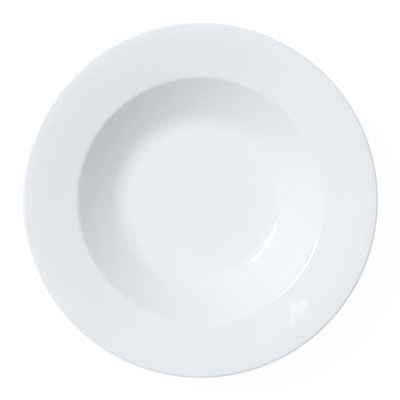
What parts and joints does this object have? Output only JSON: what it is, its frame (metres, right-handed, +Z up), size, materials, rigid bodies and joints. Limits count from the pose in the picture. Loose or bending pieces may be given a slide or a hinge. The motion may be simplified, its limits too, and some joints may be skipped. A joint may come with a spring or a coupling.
{
  "type": "rimmed soup plate",
  "caption": "Round rimmed soup plate in white glazed porcelain, with a deep round well, a gently sloping rim and a bare foot ring.",
  "frame": {"origin": "centre of the foot ring, in the plane that it stands on", "axes": "+Z up along the plate's axis, out of the well; the plate is round, so X and Y are any two level directions"},
  "size_m": [0.24, 0.24, 0.0454],
  "materials": {
    "biscuit": "bare fired porcelain, matt and very finely grained, shows only on the foot ring",
    "glaze": "clear glossy glaze fired on white porcelain, cool white"
  },
  "bodies": {
    "root": {"porcelain_body": "biscuit", "face_glaze": "glaze", "base_glaze": "glaze"}
  },
  "joints": []
}
